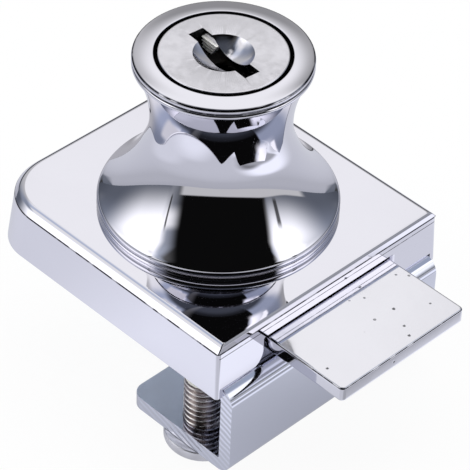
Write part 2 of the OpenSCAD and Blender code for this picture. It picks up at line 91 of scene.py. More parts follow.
class Graph:
    """Small helper that writes shader nodes."""

    def __init__(self, tree):
        self.tree = tree
        tree.nodes.clear()

    def node(self, kind, inputs=None, **settings):
        n = self.tree.nodes.new(kind)
        for k, v in settings.items():
            setattr(n, k, v)
        for k, v in (inputs or {}).items():
            self.put(n.inputs[k], v)
        return n

    def put(self, socket, value):
        if isinstance(value, bpy.types.NodeSocket):
            self.tree.links.new(value, socket)
        else:
            socket.default_value = value

    def math(self, op, *values, clamp=False):
        n = self.node("ShaderNodeMath", operation=op, use_clamp=clamp)
        for s, v in zip(n.inputs, values):
            self.put(s, v)
        return n.outputs[0]

    def times(self, first, *rest):
        for v in rest:
            first = self.math("MULTIPLY", first, v)
        return first

    def vmath(self, op, a, b=None, out=0):
        n = self.node("ShaderNodeVectorMath", operation=op)
        self.put(n.inputs[0], a)
        if b is not None:
            self.put(n.inputs[1], b)
        return n.outputs[out]

    def dot(self, a, b):
        return self.vmath("DOT_PRODUCT", a, b, "Value")

    def ramp(self, value, low, high, out_low=0.0, out_high=1.0):
        n = self.node("ShaderNodeMapRange", interpolation_type="SMOOTHSTEP",
                      inputs={"From Min": low, "From Max": high, "To Min": out_low, "To Max": out_high})
        self.put(n.inputs["Value"], value)
        return n.outputs["Result"]

    def shifted(self, value, by, low, high, amount):
        """A value that gains an amount while another one goes from low to high."""
        return self.math("ADD", value, self.ramp(by, low, high, 0.0, amount))

    def mix(self, fac, a, b):
        n = self.node("ShaderNodeMix", data_type="RGBA")
        for s, v in (("Factor", fac), ("A", a), ("B", b)):
            self.put(n.inputs[s], v)
        return n.outputs["Result"]

    def mix_shaders(self, fac, a, b):
        n = self.node("ShaderNodeMixShader")
        for s, v in zip(n.inputs, (fac, a.outputs[0], b.outputs[0])):
            self.put(s, v)
        return n.outputs[0]

    def noise(self, vector, scale, detail=3.0, rough=0.5):
        n = self.node("ShaderNodeTexNoise", {"Scale": scale, "Detail": detail, "Roughness": rough})
        self.put(n.inputs["Vector"], vector)
        return n.outputs["Fac"]

    def bump(self, height, strength, distance=0.1 * MM):
        n = self.node("ShaderNodeBump", {"Strength": strength, "Distance": distance})
        self.put(n.inputs["Height"], height)
        return n.outputs[0]

    def shade(self, **inputs):
        n = self.node("ShaderNodeBsdfPrincipled")
        for k, v in inputs.items():
            self.put(n.inputs[k.replace("_", " ")], v)
        self.put(self.node("ShaderNodeOutputMaterial").inputs["Surface"], n.outputs[0])
        return n


BLUE, PALE = (0.86, 0.96, 1.18), (0.965, 0.985, 1.08)


def grey(v, tint=(1, 1, 1)):
    return (v * tint[0], v * tint[1], v * tint[2], 1)


def make_world():
    """Studio that the chrome mirrors: a dark card behind the camera between two softboxes, pale walls, a dark
    ceiling. Azimuth runs from the camera to the right, and both angles are in degrees. The camera itself sees
    plain white."""
    world = bpy.data.worlds.new("studio")
    scene.world = world
    world.use_nodes = True
    g = Graph(world.node_tree)
    d = g.node("ShaderNodeTexCoord").outputs["Generated"]
    height = g.node("ShaderNodeSeparateXYZ", {"Vector": d}).outputs["Z"]
    el = g.times(g.math("ARCSINE", height), 180 / math.pi)
    az = g.times(g.math("ARCTAN2", g.dot(d, tuple(LEVEL_RIGHT)), g.dot(d, tuple(LEVEL_CAM))), 180 / math.pi)
    # Walls at the sides and behind the lock, and the ceiling
    sides = g.mix(g.ramp(el, 4, 30), grey(0.14, BLUE), grey(0.34, BLUE))
    sides = g.mix(g.ramp(el, 38, 50), sides, g.mix(g.ramp(az, -20, 20), grey(0.62, BLUE), grey(0.5, BLUE)))
    behind = g.mix(g.ramp(el, 27, 39.5), grey(0.34), grey(1.07))
    for hand, level in ((1, 0.44), (-1, 0.6)):
        corner = g.times(g.ramp(az, hand * 176, hand * 164), g.ramp(az, hand * 100, hand * 120),
                         g.ramp(el, 50, 42))
        behind = g.mix(corner, behind, grey(level))
    behind = g.mix(g.ramp(el, 11, 4), behind, grey(0.06, BLUE))
    colour = g.mix(g.ramp(g.math("ABSOLUTE", az), 126, 156), sides, behind)
    colour = g.mix(g.ramp(el, 57, 65), colour, grey(0.08, BLUE))
    # Dark card, the glow at its left edge, and the softboxes
    card = g.times(g.ramp(g.shifted(az, el, 40, 52, 16.0), -58, -42),
                   g.ramp(g.shifted(az, el, 40, 52, -16.0), 61, 57), g.ramp(el, 74, 60))
    glow = g.math("ADD", g.times(g.ramp(el, 11, 21), g.ramp(el, 31, 25), 0.9), 0.1)
    glow = g.times(glow, g.ramp(az, -41, -57), g.ramp(az, -64, -59))
    left = g.times(g.ramp(g.shifted(az, el, 36, 46, 6.0), -54, -66),
                   g.ramp(g.shifted(az, el, 24, 40, -12.0), -122, -88), g.ramp(el, -4, 32),
                   g.ramp(g.shifted(el, az, -74, -86, -8.0), 54, 46))
    right = g.times(g.ramp(g.shifted(az, el, 34, 46, -6.0), 54, 65),
                    g.ramp(g.shifted(az, el, 24, 40, 12.0), 120, 80), g.ramp(el, 0, 36), g.ramp(el, 52, 44))
    # Bright panels that show over the bolt and in the dish
    over_bolt = g.times(g.ramp(g.shifted(az, el, 40, 44, -7.0), 83, 88), g.ramp(az, 104, 99),
                        g.ramp(el, 32, 36), g.ramp(el, 46.5, 44.5))
    over_dish = g.times(g.ramp(az, -65, -70), g.ramp(az, -120, -110), g.ramp(el, 40, 44), g.ramp(el, 59, 55))
    for part, level in ((card, 0.004), (glow, 1.1), (left, 1.75), (right, 1.75), (over_bolt, 1.55),
                        (over_dish, 0.95)):
        colour = g.mix(part, colour, grey(level))
    # Dark seams at the softboxes' inner edges, and the far end of the floor
    for seam_az, half, top in ((70.3, 1.5, 27), (-58.5, 0.7, 32)):
        off = g.math("ABSOLUTE", g.math("SUBTRACT", az, seam_az))
        seam = g.times(g.ramp(off, half * 2, half * 0.8), g.ramp(el, top, top - 7), g.ramp(el, 4, 8))
        colour = g.mix(g.times(seam, 0.9), colour, grey(0.03))
    low = g.times(g.ramp(g.shifted(el, az, 50, 90, 2.6), 6.2, 5.0), g.ramp(az, -52, -44), g.ramp(az, 112, 104))
    colour = g.mix(low, colour, grey(0.62))
    # Two round lamps overhead
    outer, inner = math.cos(math.radians(5.5)), math.cos(math.radians(3.5))
    for lamp_az, lamp_el in ((math.radians(-142), math.radians(68)), (math.radians(128), math.radians(71))):
        way = (LEVEL_CAM * math.cos(lamp_az) + LEVEL_RIGHT * math.sin(lamp_az)) * math.cos(lamp_el)
        way.z = math.sin(lamp_el)
        colour = g.mix(g.ramp(g.dot(d, tuple(way)), outer, inner), colour, grey(1.4))
    mirrored = g.node("ShaderNodeBackground", {"Color": colour, "Strength": 1.0})
    white = g.node("ShaderNodeBackground", {"Color": grey(1.0), "Strength": 1.0})
    shown = g.mix_shaders(g.node("ShaderNodeLightPath").outputs["Is Camera Ray"], mirrored, white)
    g.put(g.node("ShaderNodeOutputWorld").inputs["Surface"], shown)


def material(name):
    m = bpy.data.materials.new(name)
    m.use_nodes = True
    return m, Graph(m.node_tree)


def spot(g, pos, along, right, near, far):
    """1 near a place on the floor, given from the key's axis towards the camera and to the right, in mm."""
    centre = LEVEL_CAM * along * MM + LEVEL_RIGHT * right * MM
    flat = g.vmath("MULTIPLY", g.vmath("SUBTRACT", pos, tuple(centre)), (1, 1, 0))
    return g.ramp(g.vmath("LENGTH", flat, out="Value"), far * MM, near * MM)


# Pools of light and shade on the floor: along, right, near and far edge in mm, level
FLOOR_POOLS = ((5, -60, 15, 45, 0.8), (24, -22, 6, 30, 1.0), (30, 84, 30, 75, 1.2), (2, 4, 12, 36, 0.48),
               (45, 43, 8, 28, 0.2))
FLOOR_HALF = 4


def make_floor():
    """White floor that keeps the shadow; in the chrome it is pale grey with pools of painted light and shade, and
    dark behind.
    """
    z = cad_box[0].z - 0.1 * MM
    mesh = bpy.data.meshes.new("floor")
    mesh.from_pydata([(x * FLOOR_HALF, y * FLOOR_HALF, z) for x, y in ((-1, -1), (1, -1), (1, 1), (-1, 1))], [],
                     [(0, 1, 2, 3)])
    floor = bpy.data.objects.new("floor", mesh)
    scene.collection.objects.link(floor)
    m, g = material("floor_white")
    pos = g.node("ShaderNodeNewGeometry").outputs["Position"]
    tone = g.mix(spot(g, pos, 0, 0, 60, 260), grey(0.52, PALE), grey(0.66, PALE))
    for along, right, near, far, level in FLOOR_POOLS:
        tone = g.mix(spot(g, pos, along, right, near, far), tone, grey(level, PALE))
    # A strip of painted light that the base's front wall mirrors, and a darker one, painted shadow of the bolt,
    # for the bolt's end
    front = g.dot(pos, (1, 0, 0))
    beside = spot(g, pos, 18, 36, 24, 36)
    strip = g.times(beside, g.ramp(front, 30 * MM, 33.5 * MM), g.ramp(front, 42 * MM, 38.5 * MM))
    tone = g.mix(strip, tone, grey(1.12, PALE))
    tone = g.mix(g.times(beside, g.ramp(front, 40.5 * MM, 44 * MM)), tone, grey(0.42, PALE))
    tone = g.mix(spot(g, pos, 0, 46, 4, 12), tone, grey(0.78, PALE))
    # Dark behind the lock
    along = g.dot(pos, tuple(LEVEL_CAM))
    wide = g.math("ABSOLUTE", g.dot(pos, tuple(LEVEL_RIGHT)))
    far_off = g.ramp(g.math("ADD", along, g.times(wide, 0.9)), -30 * MM, -90 * MM)
    tone = g.mix(g.times(spot(g, pos, 0, 0, 330, 230), far_off), tone, grey(0.16, BLUE))
    back = g.math("ADD", along, g.times(wide, 1.2))
    tone = g.mix(g.ramp(back, -30 * MM, -70 * MM), tone, grey(0.03))
    path = g.node("ShaderNodeLightPath").outputs
    tone = g.mix(path["Is Camera Ray"], tone, grey(1.0))
    shine = g.node("ShaderNodeEmission", {"Color": tone, "Strength": 1.0})
    diffuse = g.node("ShaderNodeBsdfDiffuse", {"Color": grey(0.9)})
    seen = g.math("ADD", path["Is Camera Ray"], path["Is Glossy Ray"], clamp=True)
    seen = g.math("ADD", seen, path["Is Transmission Ray"], clamp=True)
    shown = g.mix_shaders(g.times(seen, 0.94), diffuse, shine)
    g.put(g.node("ShaderNodeOutputMaterial").inputs["Surface"], shown)
    mesh.materials.append(m)


def make_lamps():
    for name, where, size, power in (("lamp_left", (-0.35, -0.45, 0.45), 0.4, 1.2),
                                     ("lamp_right", (0.5, 0.4, 0.45), 0.4, 1.2),
                                     ("lamp_top", (-0.1, 0.1, 0.8), 0.8, 4.0)):
        data = bpy.data.lights.new(name, "AREA")
        data.size = size
        data.energy = power
        lamp = bpy.data.objects.new(name, data)
        lamp.location = where
        lamp.rotation_mode = "QUATERNION"
        lamp.rotation_quaternion = Vector(where).to_track_quat("Z", "Y")
        lamp.visible_glossy = False
        scene.collection.objects.link(lamp)


# Sizes that the pieces share with the solids, in mm
BASE_FRONT, BASE_BACK, BASE_HALF = 18.6, 20.7, 18.0
WALL, DRAFT = 1.5, 0.23
LIFT, ROOF, TOP = 1.2, 7.65, 8.85
BACK_R, LOW_R, FRONT_R = 7.5, 6.0, 0.5
KNEE, DRAFT_TOP = 7.9, 7.8
MOUTH_HALF, MOUTH_TOP, POCKET_HALF, POCKET_TOP = 10.4, 6.1, 17.25, 2.35
FACE_TOP, PLUG_FACE, SEAT = 30.75, 30.65, 28.65
KEY_AT, PLUG_R, FACE_R, WELL_R, BORE_R, RUN = -5.6, 6.0, 7.55, 8.0, 6.05, 0.05
KEY_LONG, KEY_WIDE, KEY_DEEP = 5.15, 1.05, 13.65
DISH_R, DISH_Z = 4.95, 34.1
FIX, PLATE_FIX, HOUSING_FIX = (5.8, 13.9), (-13.0, 10.3), 10.6
SCREW_X, SCREW_Y = 12.1, 13.4
WAFER_Z = [25.65 - 2.4 * i for i in range(5)]
SPRING_Y, SPRING_UP = 3.7, 0.4
HEAD_TOP = -10.65


# Finishes
def scaled(colour, factor):
    return tuple(c * factor for c in colour[:3]) + (1,)


def chrome(name, colour, rough, wave=0.0, pits=0.0, rings=0.0, shear=0.0, shade_lines=()):
    """Plating with faint smudges; wave ripples it, pits and rings mark it, shear ribs the cut ends.
    Each entry of the edge list is a height and a half width, in mm, of a dark line of painted shade along an edge
    or crease;
    a third value keeps it to the faces that look along +X."""
    m, g = material(name)
    pos = g.node("ShaderNodeTexCoord").outputs["Object"]
    smudge = g.noise(pos, 160, 4)
    tone = g.mix(smudge, colour, scaled(colour, 0.965))
    normal = g.node("ShaderNodeNewGeometry").outputs["Normal"]
    # Dark lines of painted shade along edges and creases, patchy along their length
    for z, half, *front in shade_lines:
        up = g.node("ShaderNodeSeparateXYZ", {"Vector": pos}).outputs["Z"]
        off = g.math("ABSOLUTE", g.math("SUBTRACT", up, z * MM))
        edge_shade = g.times(g.ramp(off, half * 1.5 * MM, half * 0.7 * MM),
                       g.ramp(g.noise(pos, 700, 2), 0.32, 0.5, 0.45, 1.0))
        if front:
            edge_shade = g.times(edge_shade, g.ramp(g.dot(normal, (1, 0, 0)), 0.8, 0.95))
        tone = g.mix(edge_shade, tone, (0.02, 0.02, 0.025, 1))
    height = g.times(g.noise(pos, 260, 2), wave)
    if pits:
        dots = g.node("ShaderNodeTexVoronoi", {"Scale": 520.0, "Randomness": 1.0, "Vector": pos})
        rare = g.ramp(g.noise(pos, 260, 1), 0.36, 0.46)
        dent = g.times(g.ramp(dots.outputs["Distance"], 0.12, 0.05), rare)
        height = g.math("SUBTRACT", height, g.times(dent, pits))
        tone = g.mix(g.times(dent, 0.85), tone, (0.05, 0.05, 0.055, 1))
    if rings:
        radius = g.vmath("LENGTH", g.vmath("MULTIPLY", pos, (1, 1, 0)), out="Value")
        grooves = g.math("SINE", g.times(radius, 2 * math.pi / (0.11 * MM)))
        height = g.math("ADD", height, g.times(grooves, g.noise(pos, 900, 2), rings))
    if shear:
        ends = g.math("ABSOLUTE", g.dot(normal, (0, 1, 0)))
        along = g.times(g.dot(pos, (0.35, 0, 1)), 2 * math.pi / (0.85 * MM))
        ribs = g.math("SINE", g.math("ADD", along, g.times(g.noise(pos, 500, 2), 3.0)))
        height = g.math("ADD", height, g.times(ribs, g.ramp(ends, 0.6, 0.9), shear))
    g.shade(Metallic=1.0, Base_Color=tone, Roughness=g.ramp(smudge, 0.3, 0.75, rough * 0.6, rough * 1.5),
            Normal=g.bump(height, 0.3))
    return m


def zinc(name, colour, rough=0.32):
    """Dull plating with the faint cells of zinc."""
    m, g = material(name)
    pos = g.node("ShaderNodeTexCoord").outputs["Object"]
    cells = g.node("ShaderNodeTexVoronoi", {"Scale": 700.0, "Vector": pos})
    tone = g.math("ADD", g.times(g.noise(pos, 240, 4), 0.6), g.times(cells.outputs["Distance"], 0.4))
    g.shade(Metallic=1.0, Base_Color=g.mix(tone, scaled(colour, 1.1), scaled(colour, 0.75)),
            Roughness=g.ramp(tone, 0.2, 0.8, rough * 0.8, rough * 1.3), Normal=g.bump(tone, 0.15))
    return m


def matt(name, colour, rough, grain):
    """Cloudy matt surface with a fine grain."""
    m, g = material(name)
    pos = g.node("ShaderNodeTexCoord").outputs["Object"]
    fine = g.noise(pos, 1800, 5, 0.6)
    cloud = g.noise(pos, 150, 3)
    g.shade(Base_Color=g.mix(cloud, scaled(colour, 0.85), scaled(colour, 1.12)),
            Roughness=g.ramp(fine, 0.3, 0.7, rough * 0.9, min(1.0, rough * 1.1)), Normal=g.bump(fine, grain))
    return m


def thread_steel(name):
    """Oily brown nickel, with a painted highlight on the thread's crests."""
    m, g = material(name)
    pos = g.node("ShaderNodeTexCoord").outputs["Object"]
    oil = g.noise(pos, 420, 4)
    tone = g.mix(g.ramp(oil, 0.35, 0.65), (0.15, 0.123, 0.118, 1), (0.5, 0.43, 0.415, 1))
    off = g.vmath("SUBTRACT", g.vmath("ABSOLUTE", pos), (SCREW_X * MM, SCREW_Y * MM, 0))
    radius = g.vmath("LENGTH", g.vmath("MULTIPLY", off, (1, 1, 0)), out="Value")
    # Painted highlight along the thread's crests
    tone = g.mix(g.ramp(radius, 2.3 * MM, 2.43 * MM), tone, (0.8, 0.76, 0.74, 1))
    g.shade(Metallic=1.0, Base_Color=tone, Roughness=g.ramp(oil, 0.3, 0.7, 0.16, 0.34), Normal=g.bump(oil, 0.2))
    return m


# Mesh tools: pieces are drawn in millimetres
def piece(name, bm):
    bmesh.ops.recalc_face_normals(bm, faces=bm.faces)
    bmesh.ops.scale(bm, vec=(MM, MM, MM), verts=bm.verts)
    mesh = bpy.data.meshes.new(name)
    bm.to_mesh(mesh)
    bm.free()
    obj = bpy.data.objects.new(name, mesh)
    scene.collection.objects.link(obj)
    return obj


def apply(obj):
    """Bakes an object's modifiers into its mesh."""
    bpy.context.view_layer.update()
    mesh = bpy.data.meshes.new_from_object(obj.evaluated_get(bpy.context.evaluated_depsgraph_get()))
    obj.modifiers.clear()
    old, obj.data = obj.data, mesh
    mesh.name = obj.name
    bpy.data.meshes.remove(old)


def combine(obj, op, *tools):
    for tool in tools:
        mod = obj.modifiers.new("cut", "BOOLEAN")
        mod.operation, mod.object, mod.solver = op, tool, "EXACT"
        apply(obj)
        mesh = tool.data
        bpy.data.objects.remove(tool)
        bpy.data.meshes.remove(mesh)


def smooth(obj, angle=32):
    """Smooth faces, sharp edges over an angle, and normals that keep large faces flat."""
    bm = bmesh.new()
    bm.from_mesh(obj.data)
    for f in bm.faces:
        f.smooth = True
    for e in bm.edges:
        e.smooth = len(e.link_faces) == 2 and e.calc_face_angle(4) < math.radians(angle)
    bm.to_mesh(obj.data)
    bm.free()
    mod = obj.modifiers.new("normals", "WEIGHTED_NORMAL")
    mod.keep_sharp = True
    apply(obj)


def round_edges(obj, width, keep, segments, angle=38):
    """Rounds the edges sharper than an angle whose two ends pass keep(x, y, z), in mm."""
    bm = bmesh.new()
    bm.from_mesh(obj.data)
    bmesh.ops.remove_doubles(bm, verts=bm.verts, dist=1e-7)
    chosen = [e for e in bm.edges if len(e.link_faces) == 2 and e.calc_face_angle(0) > math.radians(angle)
              and all(keep(*(v.co / MM)) for v in e.verts)]
    bmesh.ops.bevel(bm, geom=chosen, offset=width * MM, segments=segments, profile=0.5, affect="EDGES",
                    clamp_overlap=True)
    bm.to_mesh(obj.data)
    bm.free()


def loft(bm, rings):
    """Skin over rings of equal length; both ends capped."""
    rows = [[bm.verts.new(p) for p in ring] for ring in rings]
    n = len(rows[0])
    for a, b in zip(rows, rows[1:]):
        for i in range(n):
            bm.faces.new((a[i], a[(i + 1) % n], b[(i + 1) % n], b[i]))
    bm.faces.new(rows[0])
    bm.faces.new(rows[-1])


def arc(cx, cy, r, a0, a1, n, ry=None):
    ry = r if ry is None else ry
    steps = [math.radians(a0 + (a1 - a0) * i / n) for i in range(n + 1)]
    return [(cx + r * math.cos(t), cy + ry * math.sin(t)) for t in steps]


def prism(name, outline, z0, z1):
    bm = bmesh.new()
    loft(bm, [[(x, y, z0) for x, y in outline], [(x, y, z1) for x, y in outline]])
    return piece(name, bm)


def block(x0, x1, y0, y1, z0, z1):
    return prism("block", [(x0, y0), (x1, y0), (x1, y1), (x0, y1)], z0, z1)


def drum(x, y, z0, z1, r0, r1=None, n=64):
    r1 = r0 if r1 is None else r1
    bm = bmesh.new()
    loft(bm, [[(px, py, z) for px, py in arc(x, y, r, 0, 360 * (n - 1) / n, n - 1)]
              for z, r in ((z0, r0), (z1, r1))])
    return piece("drum", bm)


def lathe(name, profile, n):
    """Closed profile of [radius, height] turned about the key's axis."""
    bm = bmesh.new()
    cols = []
    for i in range(n):
        c, s = math.cos(2 * math.pi * i / n), math.sin(2 * math.pi * i / n)
        cols.append([bm.verts.new((r * c, r * s, z)) for r, z in profile])
    m = len(profile)
    for i in range(n):
        a, b = cols[i], cols[(i + 1) % n]
        for j in range(m):
            k = (j + 1) % m
            bm.faces.new((a[j], b[j], b[k], a[k]))
    bmesh.ops.remove_doubles(bm, verts=bm.verts, dist=1e-6)
    return piece(name, bm)


def turned(tool, degrees):
    tool.data.transform(Matrix.Rotation(math.radians(degrees), 4, "Z"))
    return tool


def moved(tool, x, y, z):
    tool.data.transform(Matrix.Translation(Vector((x, y, z)) * MM))
    return tool


# Base
def front_inset(inset, z):
    """The slope's inset over the bolt, where it stands steeper and breaks half way up."""
    start, break_z = KNEE + 0.03, 8.54
    if z < start:
        return min(inset, 0.02)
    steep, upper = 0.02 + 0.208 * (min(z, break_z) - KNEE - 0.03), 0.62 * max(0, z - break_z)
    return steep + upper + (max(0, inset - 1.05) if z >= TOP else 0)


def base_outline(inset, back_r, front_r, z=None):
    """The base's outline, drawn in by an inset; with a height, its front follows the slope over the bolt."""
    x0, h = inset - BASE_BACK, BASE_HALF - inset
    x1 = BASE_FRONT - (inset if z is None else front_inset(inset, z))
    return (arc(x1 - front_r, h - front_r, front_r, 0, 90, 6)
            + arc(x0 + back_r, h - back_r, back_r, 90, 180, 22)
            + arc(x0 + back_r, back_r - h, back_r, 180, 270, 22)
            + arc(x1 - front_r, front_r - h, front_r, 270, 360, 6))


def base_levels():
    """[inset, height, back corner radius] from the lower edge up: wall, knee, slope, its crown and the top."""
    knee, crown, flat, low_r, steep = 0.1, 1.45, 0.5, 0.12, 77
    out = []
    for t in (90, 60, 30):
        out.append((-DRAFT + low_r * (1 - math.cos(math.radians(t))),
                    LIFT + low_r * (1 - math.sin(math.radians(t))), LOW_R))
    z_knee = KNEE - knee * math.tan(math.radians(22.5))
    for t in (0.02, 0.3, 0.6, 0.97):
        z = LIFT + low_r + (z_knee - LIFT - low_r) * t
        out.append((-DRAFT * (KNEE - z) / (KNEE - LIFT), z,
                    LOW_R + (BACK_R - LOW_R) * (z - LIFT) / (KNEE - LIFT)))
    for i in range(4):
        t = math.radians(45 * i / 3)
        inset = knee * (1 - math.cos(t))
        out.append((inset, z_knee + knee * math.sin(t), BACK_R - inset))
    rise = crown * (math.sin(math.radians(steep)) - math.sqrt(0.5))
    ci, cz = flat + crown * math.sqrt(0.5), TOP - 0.004 - rise - crown * math.sqrt(0.5)
    for i in range(10):
        t = math.radians(45 + (steep - 45) * i / 9)
        inset = ci - crown * math.cos(t)
        out.append((inset, cz + crown * math.sin(t), BACK_R - inset))
    inset = out[-1][0]
    return out + [(inset + step, TOP, BACK_R - inset - step) for step in (0.03, 0.12)]


def mouth_tool():
    """Opening for the bolt, its outer edge rounded, over the notch for the clamp's flange."""
    corner, depth, round_d = 2.3, 2.4, 0.8
    widen_side, widen_top, widen_low = 0.45, 0.15, 0.2

    def section(k):
        s, t, b = widen_side * k, widen_top * k, widen_low * k
        rho = 0.2 + t
        right = [(POCKET_HALF, 0.2), (POCKET_HALF, POCKET_TOP + b)]
        right += arc(MOUTH_HALF + corner, POCKET_TOP + corner, corner - s, 270, 180, 10, corner - b)
        right += arc(MOUTH_HALF + s - rho, MOUTH_TOP + t - rho, rho, 0, 90, 6)
        return right + [(-y, z) for y, z in reversed(right)]

    def ring(k, d):
        out = [DRAFT * (DRAFT_TOP - max(z, LIFT)) / (DRAFT_TOP - LIFT) for _, z in section(k)]
        return [(BASE_FRONT + o - d, y, z) for o, (y, z) in zip(out, section(k))]

    rings = [ring(1, -1.5), ring(1, 0)]
    for i in range(1, 9):
        t = math.radians(90 * i / 8)
        rings.append(ring(1 - math.sin(t), round_d * (1 - math.cos(t))))
    rings.append(ring(0, depth))
    bm = bmesh.new()
    loft(bm, rings)
    bmesh.ops.triangulate(bm, faces=bm.faces)
    return piece("mouth", bm)


def make_base():
    """Cap with a sloped edge, and inside it the bolt's rails and the screws' bosses."""
    bm = bmesh.new()
    loft(bm, [[(x, y, z) for x, y in base_outline(i, r, FRONT_R if z < KNEE else 0.16, z)]
              for i, z, r in base_levels()])
    base = piece("base_shell", bm)
    combine(base, "DIFFERENCE", prism("cavity", base_outline(WALL, BACK_R - WALL, 0.02), 0.2, ROOF))
    rail_back, rail_front, boss_z, boss_r = -10.6, BASE_FRONT - WALL, (3.8, 8.25), 2.8
    for s in (-1, 1):
        combine(base, "UNION",
                block(rail_back, rail_front, min(s * 10.25, s * 11.75), max(s * 10.25, s * 11.75), 3.95, 7.8),
                block(rail_back, rail_front, min(s * 9.5, s * 11.7), max(s * 9.5, s * 11.7), 6.05, 7.75),
                drum(FIX[0], s * FIX[1], *boss_z, boss_r),
                drum(PLATE_FIX[0], s * PLATE_FIX[1], *boss_z, boss_r))
    combine(base, "DIFFERENCE", mouth_tool(), block(0.7, 17.2, -POCKET_HALF, POCKET_HALF, 0.2, POCKET_TOP),
            drum(0, 0, 5, 12, WELL_R + RUN, n=96))
    pilot_z, pilot_r, hole_r, sunk_r = (2.8, 6.95), 1.5, 1.25, 2.15
    for s in (-1, 1):
        combine(base, "DIFFERENCE", drum(FIX[0], s * FIX[1], *pilot_z, pilot_r),
                drum(PLATE_FIX[0], s * PLATE_FIX[1], *pilot_z, pilot_r),
                drum(s * HOUSING_FIX, 0, 6.65, 12, hole_r),
                drum(s * HOUSING_FIX, 0, ROOF - 0.001, ROOF + 0.9, sunk_r, hole_r))
    smooth(base)
    return base


# Cylinder housing
def housing_profile():
    """Half section: spigot, foot ring, bell's edge, sweep, waist, flare, the rim's two beads, the plug's well."""
    edge_c, edge_r = Vector((13.6, 9.8)), 0.8
    waist_c, waist_r, waist = Vector((18.33, 21.4)), 10.0, 8.33
    turn = math.asin(0.34)
    way = Vector((math.cos(turn), math.sin(turn)))
    waist_end = waist_c - waist_r * way
    gap = waist_end - edge_c
    sweep_r = (gap.dot(gap) - edge_r ** 2) / (2 * (edge_r - way.dot(gap)))
    sweep_c = waist_end + sweep_r * way
    meet = math.degrees(math.atan2(sweep_c.y - edge_c.y, sweep_c.x - edge_c.x))
    foot_r, foot_top, foot_round = 14.32, 9.25, 0.08
    z_rim, z_edge, rim_in, bead, groove_r = 29.05, 30.45, 10.18, 0.32, 10.38
    rise, out = z_rim - waist_c.y, 10.2 - waist
    flare_r = (rise ** 2 + out ** 2) / (2 * out)
    flare_to = 180 - math.degrees(math.asin(rise / flare_r))
    dip = math.degrees(math.acos((groove_r - rim_in) / bead))
    p = [(BORE_R, ROOF), (WELL_R, ROOF), (WELL_R, TOP), (foot_r, TOP)]
    p += arc(foot_r, TOP + foot_round, foot_round, -90, 0, 3)
    p += arc(foot_r, foot_top - foot_round, foot_round, 0, 90, 3) + [(14.2, foot_top)]
    p += arc(edge_c.x, edge_c.y, edge_r, -43, meet, 16)
    p += arc(sweep_c.x, sweep_c.y, sweep_r, 180 + meet, 180 + math.degrees(turn), 34)[1:]
    p += arc(waist_c.x, waist_c.y, waist_r, 180 + math.degrees(turn), 180, 12)[1:]
    p += arc(waist + flare_r, waist_c.y, flare_r, 180, flare_to, 20)[1:]
    p += arc(rim_in, z_rim + bead, bead, -88, dip, 10) + arc(rim_in, z_edge - bead, bead, -dip, 78, 10)
    r, z, steps = p[-1][0], p[-1][1], 10
    for i in range(steps):
        step = (r - 8.1) / (steps - i)
        slope = math.radians(8.6 - 7.6 * (i + 0.5) / steps)
        r, z = r - step, z + step * math.tan(slope)
        p.append((r, z))
    return p + arc(8.06, z - 0.06, 0.06, 80, 180, 4) + [(WELL_R, 30.4), (WELL_R, 28.5), (BORE_R, 28.5)]


def make_housing():
    house = lathe("housing_shell", housing_profile(), 192)
    half = 3.15
    a = math.degrees(math.asin(half / BORE_R))
    groove = [(0, half), (0, -half)] + [(x + 0.95, y) for x, y in arc(0, 0, BORE_R, -a, a, 20)]
    for turn in (0, 90):
        combine(house, "DIFFERENCE", turned(prism("groove", groove, KEY_DEEP, 28.05), KEY_AT + turn))
    sector = [(0, 0)] + arc(0, 0, 7.55, 209, 331, 40)
    combine(house, "DIFFERENCE", prism("stop_room", sector, 27.3, 28.8))
    for s in (-1, 1):
        combine(house, "DIFFERENCE", drum(s * HOUSING_FIX, 0, 7.85, 11.6, 1.25))
    smooth(house, 28)
    return house


# Plug
def in_keyway(x, y):
    """A place measured along and across the keyway."""
    a = math.radians(-KEY_AT)
    return x * math.cos(a) - y * math.sin(a), x * math.sin(a) + y * math.cos(a)


def keyway_rib(x, y, z):
    u, v = in_keyway(x, y)
    return 0.6 < v < 1.02 and -4.95 < u < -1.5 and 28.1 < z < 29.9


def keyway_inside(x, y, z):
    """The keyway's walls below the face and the dish, and the plug's own wall in the gap round its face: the
    faces painted in shade.
    """
    u, v = in_keyway(x, y)
    slot = abs(u) < 5.3 and abs(v) < 1.07 and z < DISH_Z - math.sqrt(max(DISH_R ** 2 - u * u - v * v, 0)) - 0.02
    return slot and z < PLUG_FACE - 0.1 or math.hypot(x, y) > 7.5 and z < PLUG_FACE - 0.25


